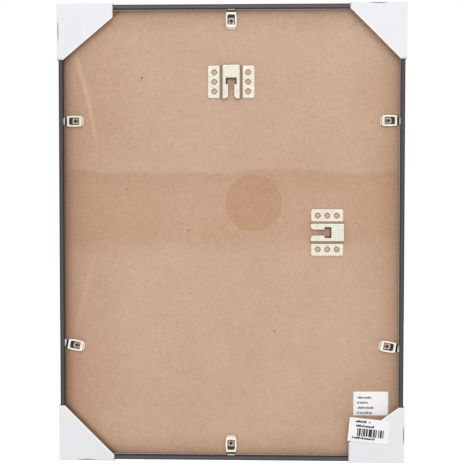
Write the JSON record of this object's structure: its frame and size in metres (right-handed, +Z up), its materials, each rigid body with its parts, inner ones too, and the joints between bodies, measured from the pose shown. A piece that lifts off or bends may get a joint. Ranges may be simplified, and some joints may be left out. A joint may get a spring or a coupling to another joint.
{
  "type": "picture frame with turn clip back",
  "caption": "Portrait picture frame seen from behind: dark mitred bars, hardboard back held by riveted turn clips, slotted hangers and white card corner protectors.",
  "frame": {"origin": "on the wall plane, where the nail enters it: at the middle of the portrait hanger's toothed edge, in the plane of the bars' rear faces", "axes": "+Z up with the frame hanging upright, +X to the right as seen from behind, +Y from the wall towards the front of the frame"},
  "size_m": [0.3128, 0.0167, 0.4128],
  "materials": {
    "frame_wrap": "dark grey foil wrap",
    "nail_steel": "plain steel",
    "clear_glass": "clear",
    "insert_paper": "matt",
    "hardboard": "smooth pressed face",
    "clip_plating": "nickel plated",
    "rivet_plating": "nickel plated",
    "hanger_plating": "nickel plated",
    "white_card": "matt white",
    "label_paper": "matt white"
  },
  "bodies": {
    "frame": {"frame_bar_top": "frame_wrap", "frame_bar_right": "frame_wrap", "frame_bar_bottom": "frame_wrap", "frame_bar_left": "frame_wrap", "corner_v_nails": "nail_steel", "glass_pane": "clear_glass", "insert_sheet": "insert_paper", "back_board": "hardboard", "clip_rivets": "rivet_plating", "hanger_portrait": "hanger_plating", "hanger_landscape": "hanger_plating", "info_label": "label_paper"},
    "turn_clip_top": {"turn_clip_top": "clip_plating"},
    "turn_clip_right_upper": {"turn_clip_right_upper": "clip_plating"},
    "turn_clip_right_lower": {"turn_clip_right_lower": "clip_plating"},
    "turn_clip_bottom": {"turn_clip_bottom": "clip_plating"},
    "turn_clip_left_lower": {"turn_clip_left_lower": "clip_plating"},
    "turn_clip_left_upper": {"turn_clip_left_upper": "clip_plating"},
    "corner_protector_top_left": {"corner_protector_top_left": "white_card"},
    "corner_protector_top_right": {"corner_protector_top_right": "white_card"},
    "corner_protector_bottom_right": {"corner_protector_bottom_right": "white_card", "price_label": "label_paper"},
    "corner_protector_bottom_left": {"corner_protector_bottom_left": "white_card"}
  },
  "joints": [
    {"name": "turn_clip_top_turn", "type": "hinge", "parent": "frame", "child": "turn_clip_top", "pos_m": [0, 0.005, 0.0507], "axis": [0, 1, 0], "continuous": true},
    {"name": "turn_clip_right_upper_turn", "type": "hinge", "parent": "frame", "child": "turn_clip_right_upper", "pos_m": [0.1405, 0.005, -0.0384], "axis": [0, 1, 0], "continuous": true},
    {"name": "turn_clip_right_lower_turn", "type": "hinge", "parent": "frame", "child": "turn_clip_right_lower", "pos_m": [0.1405, 0.005, -0.2412], "axis": [0, 1, 0], "continuous": true},
    {"name": "turn_clip_bottom_turn", "type": "hinge", "parent": "frame", "child": "turn_clip_bottom", "pos_m": [0, 0.005, -0.3303], "axis": [0, 1, 0], "continuous": true},
    {"name": "turn_clip_left_lower_turn", "type": "hinge", "parent": "frame", "child": "turn_clip_left_lower", "pos_m": [-0.1405, 0.005, -0.2412], "axis": [0, 1, 0], "continuous": true},
    {"name": "turn_clip_left_upper_turn", "type": "hinge", "parent": "frame", "child": "turn_clip_left_upper", "pos_m": [-0.1405, 0.005, -0.0384], "axis": [0, 1, 0], "continuous": true},
    {"name": "corner_protector_top_left_pull_off", "type": "slide", "parent": "frame", "child": "corner_protector_top_left", "axis": [-0.7071, 0, 0.7071], "range_m": [0, 0.07]},
    {"name": "corner_protector_top_right_pull_off", "type": "slide", "parent": "frame", "child": "corner_protector_top_right", "axis": [0.7071, 0, 0.7071], "range_m": [0, 0.07]},
    {"name": "corner_protector_bottom_right_pull_off", "type": "slide", "parent": "frame", "child": "corner_protector_bottom_right", "axis": [0.7071, 0, -0.7071], "range_m": [0, 0.07]},
    {"name": "corner_protector_bottom_left_pull_off", "type": "slide", "parent": "frame", "child": "corner_protector_bottom_left", "axis": [-0.7071, 0, -0.7071], "range_m": [0, 0.07]}
  ]
}
